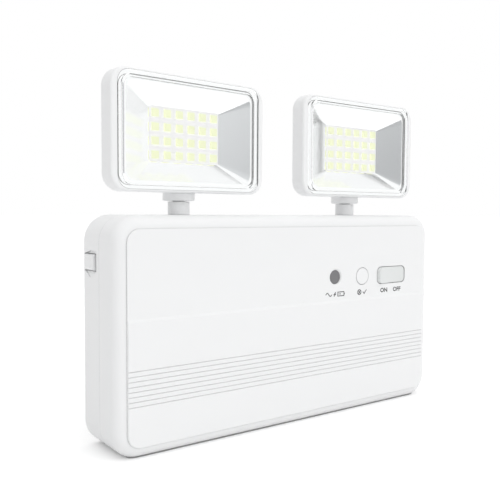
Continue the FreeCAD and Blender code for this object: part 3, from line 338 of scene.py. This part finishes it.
def material_set():
    """Every material of FINISHES by name, with its painted glow where it has one."""
    materials = {name: make(name, *values) for name, (make, *values) in FINISHES.items()}
    for name, (colour, strength) in PAINTED_GLOWS.items():
        shader = materials[name].node_tree.nodes["Principled BSDF"]
        shader.inputs["Emission Color"].default_value = (*colour, 1)
        shader.inputs["Emission Strength"].default_value = strength
    return materials


def dress_nodes(materials):
    """Gives each CAD node the finish of its slot, or a darker copy of it as painted shade."""
    for part in frame["record"]["subparts"]:
        mesh = frame["nodes"][part["node"]].data
        mesh.materials.clear()
        mesh.materials.append(materials[PAINTED_SHADE_FINISH.get(part["node"], part["material_slot"])])


# ---------------------------------------------------------------- pieces
def add_piece(name, mesh, material, body):
    """Object of a mesh and a material, on a body and in a slot."""
    piece = bpy.data.objects.new(name, mesh)
    bpy.context.scene.collection.objects.link(piece)
    mesh.materials.clear()
    mesh.materials.append(material)
    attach(piece, body)
    return piece


def print_face():
    """Y of the upper field, on which the print lies."""
    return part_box("front_cover")[0].y + UPPER_FIELD_BACK


def centre_of(node):
    """Middle of the box of a CAD node."""
    low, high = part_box(node)
    return (low + high) / 2


def offset_line(points, distance, closed):
    """Points moved sideways by a distance, with mitred corners."""
    offset = []
    count = len(points)
    for i, point in enumerate(points):
        before = points[i - 1] if closed or i else None
        after = points[(i + 1) % count] if closed or i + 1 < count else None
        normals = []
        for a, b in ((before, point), (point, after)):
            if a is not None and b is not None:
                line = (Vector(b) - Vector(a)).normalized()
                normals.append(Vector((-line.y, line.x)))
        across = sum(normals, Vector((0, 0))).normalized()
        offset.append(Vector(point) + across * distance / across.dot(normals[0]))
    return offset


def print_strokes(name, strokes, centre_x, centre_z, ink):
    """Printed line symbol. Each stroke is (points, closed), in mm from the symbol's centre."""
    front = print_face() - PRINT_DEPTH
    back = print_face() + PRINT_DEPTH
    vertices, faces = [], []
    for points, closed in strokes:
        points = [(x * MM, z * MM) for x, z in points]
        left = offset_line(points, STROKE / 2, closed)
        right = offset_line(points, -STROKE / 2, closed)
        first, count = len(vertices), len(points)
        for a, b in zip(left, right):
            for side, y in ((a, front), (b, front), (b, back), (a, back)):
                vertices.append((centre_x + side.x, y, centre_z + side.y))
        for i in range(count if closed else count - 1):
            here, there = first + 4 * i, first + 4 * ((i + 1) % count)
            for k in range(4):
                k1 = (k + 1) % 4
                faces.append((here + k, here + k1, there + k1, there + k))
        if not closed:
            last = first + 4 * (count - 1)
            faces += [tuple(first + k for k in (3, 2, 1, 0)), tuple(last + k for k in range(4))]
    mesh = bpy.data.meshes.new(name)
    mesh.from_pydata(vertices, [], faces)
    mesh.update()
    return add_piece(name, mesh, ink, "case")


def print_letters(name, text, centre_x, centre_z, width, ink):
    """Plain printed letters, PRINT_HEIGHT tall and the given width."""
    curve = bpy.data.curves.new(name, "FONT")
    curve.body = text
    curve.extrude = PRINT_DEPTH
    curve.offset = LETTER_WEIGHT
    sample = bpy.data.objects.new(name, curve)
    mesh = bpy.data.meshes.new_from_object(sample)
    bpy.data.objects.remove(sample)
    xs = [v.co.x for v in mesh.vertices]
    zs = [v.co.y for v in mesh.vertices]
    for v in mesh.vertices:
        x = (v.co.x - (min(xs) + max(xs)) / 2) * width / (max(xs) - min(xs))
        z = (v.co.y - (min(zs) + max(zs)) / 2) * PRINT_HEIGHT / (max(zs) - min(zs))
        v.co = (centre_x + x, print_face() - v.co.z, centre_z + z)
    return add_piece(name, mesh, ink, "case")


def circle_points(radius, count):
    """Corners of a regular polygon around the origin."""
    return [(radius * math.cos(2 * math.pi * i / count), radius * math.sin(2 * math.pi * i / count))
            for i in range(count)]


def shifted(points, x):
    """Points moved along X."""
    return [(px + x, pz) for px, pz in points]


def charge_strokes():
    """Mains wave, charging bolt and battery."""
    wave = [(-WAVE_HALF + 2 * WAVE_HALF * i / WAVE_STEPS,
             WAVE_RISE * math.sin(2 * math.pi * i / WAVE_STEPS)) for i in range(WAVE_STEPS + 1)]
    strokes = [(shifted(wave, WAVE_X), False), (shifted(BOLT, BOLT_X), False),
               (shifted(BATTERY, BATTERY_X), True)]
    for x, half in BATTERY_BARS:
        strokes.append((shifted([(x, -half), (x, half)], BATTERY_X), False))
    return strokes


def lamp_check_strokes():
    """Lamp, which is a circle with a cross, and tick."""
    arm = LAMP_RADIUS * math.sqrt(0.5)
    return [(shifted(circle_points(LAMP_RADIUS, LAMP_CORNERS), LAMP_X), True),
            (shifted([(-arm, -arm), (arm, arm)], LAMP_X), False),
            (shifted([(-arm, arm), (arm, -arm)], LAMP_X), False),
            (TICK, False)]


def add_print(ink):
    """Symbols below the indicator and the test button, and ON and OFF below the rocker."""
    level = centre_of("test_button").z - PRINT_DROP
    lens, button = centre_of("indicator_lens").x, centre_of("test_button").x
    rocker = centre_of("power_rocker").x
    print_strokes("charge_symbol", charge_strokes(), lens, level, ink)
    print_strokes("lamp_check_symbol", lamp_check_strokes(), button, level, ink)
    print_letters("print_on", "ON", rocker + ON_SHIFT, level, ON_WIDTH, ink)
    print_letters("print_off", "OFF", rocker + OFF_SHIFT, level, OFF_WIDTH, ink)


# ---------------------------------------------------------------- studio
def add_camera():
    """Camera in front of the object, to its left, looking a little down."""
    camera = bpy.data.cameras.new("camera")
    camera.sensor_width = CAMERA_SENSOR
    camera.lens = CAMERA_LENS
    camera.clip_start = CAMERA_CLIP_START
    holder = bpy.data.objects.new("camera", camera)
    turn = Euler((math.radians(90 - CAMERA_DROP), 0, math.radians(-CAMERA_HEADING))).to_matrix()
    roll = Euler((0, 0, math.radians(CAMERA_ROLL))).to_matrix()
    holder.matrix_world = (turn @ roll).to_4x4()
    holder.location = CAMERA_PLACE
    bpy.context.scene.collection.objects.link(holder)
    bpy.context.scene.camera = holder


def studio_sheet(name, corners, material):
    """Rectangle of the studio."""
    mesh = bpy.data.meshes.new(name)
    mesh.from_pydata(corners, [], [(0, 1, 2, 3)])
    mesh.materials.append(material)
    sheet = bpy.data.objects.new(name, mesh)
    bpy.context.scene.collection.objects.link(sheet)
    return sheet


def add_floor():
    """White floor, level with the bottom of the case."""
    material, tree, shader = new_material("floor")
    seen = seen_directly(tree)
    colour = shade(tree, seen, FLOOR_BOUNCE, WHITE)
    contact = shade(tree, openness(tree, CONTACT_REACH), CONTACT_SHADE, WHITE)
    tree.links.new(contact, colour.node.inputs["B"])
    tree.links.new(colour, shader.inputs["Base Color"])
    shader.inputs["Emission Color"].default_value = (*WHITE, 1)
    tree.links.new(spread(tree, seen, 0, FLOOR_GLOW), shader.inputs["Emission Strength"])
    shader.inputs["Roughness"].default_value = FLOOR_ROUGHNESS
    shader.inputs["Specular IOR Level"].default_value = 0.0
    half = FLOOR_SIZE / 2
    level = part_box("rear_shell")[0].z
    corners = [(-half, -half, level), (half, -half, level),
               (half, half, level), (-half, half, level)]
    floor = studio_sheet("floor", corners, material)


def add_card():
    """Upright grey card in front of the object, which paints a reflection into the reflectors."""
    material, tree, _ = new_material("card")
    place = tree.nodes.new("ShaderNodeTexCoord")
    fade = spread(tree, along(tree, place.outputs["Generated"], CARD_SLOPE), 0, 1, *CARD_FADE)
    emitter = tree.nodes.new("ShaderNodeEmission")
    tree.links.new(shade(tree, fade, CARD_LIGHT, CARD_DARK), emitter.inputs["Color"])
    tree.links.new(emitter.outputs["Emission"], tree.nodes["Material Output"].inputs["Surface"])
    low, high = CARD_LOW, CARD_HIGH
    corners = [(low.x, low.y, low.z), (high.x, low.y, low.z),
               (high.x, low.y, high.z), (low.x, low.y, high.z)]
    card = studio_sheet("card", corners, material)
    card.visible_camera = False
    card.visible_diffuse = False
    card.visible_shadow = False


def add_world():
    """Soft white surroundings: an even base and broad bright lobes, seen as plain white."""
    world = bpy.data.worlds.new("studio")
    bpy.context.scene.world = world
    world.use_nodes = True
    tree = world.node_tree
    background = tree.nodes["Background"]
    direction = tree.nodes.new("ShaderNodeTexCoord").outputs["Generated"]
    total = None
    for heading, elevation, inner, outer, strength in LIGHT_LOBES:
        turn, rise = math.radians(heading), math.radians(elevation)
        aim = (math.sin(turn) * math.cos(rise), -math.cos(turn) * math.cos(rise), math.sin(rise))
        lobe = spread(tree, along(tree, direction, aim), 0, strength,
                      math.cos(math.radians(outer)), math.cos(math.radians(inner)))
        lobe.node.interpolation_type = "SMOOTHSTEP"
        add = tree.nodes.new("ShaderNodeMath")
        tree.links.new(lobe, add.inputs[0])
        if total is None:
            add.inputs[1].default_value = LIGHT_BASE
        else:
            tree.links.new(total, add.inputs[1])
        total = add.outputs["Value"]
    pick = tree.nodes.new("ShaderNodeMix")
    pick.inputs["B"].default_value = BACKGROUND_STRENGTH
    tree.links.new(seen_directly(tree), pick.inputs["Factor"])
    tree.links.new(total, pick.inputs["A"])
    tree.links.new(pick.outputs["Result"], background.inputs["Strength"])
    background.inputs["Color"].default_value = (*WHITE, 1)


# ---------------------------------------------------------------- the scene
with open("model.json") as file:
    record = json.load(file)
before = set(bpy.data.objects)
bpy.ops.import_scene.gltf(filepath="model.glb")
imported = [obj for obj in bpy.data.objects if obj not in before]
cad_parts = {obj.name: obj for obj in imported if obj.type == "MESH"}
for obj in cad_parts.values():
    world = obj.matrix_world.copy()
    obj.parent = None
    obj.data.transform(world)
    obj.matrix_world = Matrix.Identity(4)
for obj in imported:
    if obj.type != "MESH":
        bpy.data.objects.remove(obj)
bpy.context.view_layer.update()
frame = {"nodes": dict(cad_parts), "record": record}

finishes = material_set()
dress_nodes(finishes)
add_print(finishes["print_ink"])
add_camera()
add_floor()
add_card()
add_world()
bpy.context.scene.view_settings.view_transform = "Standard"
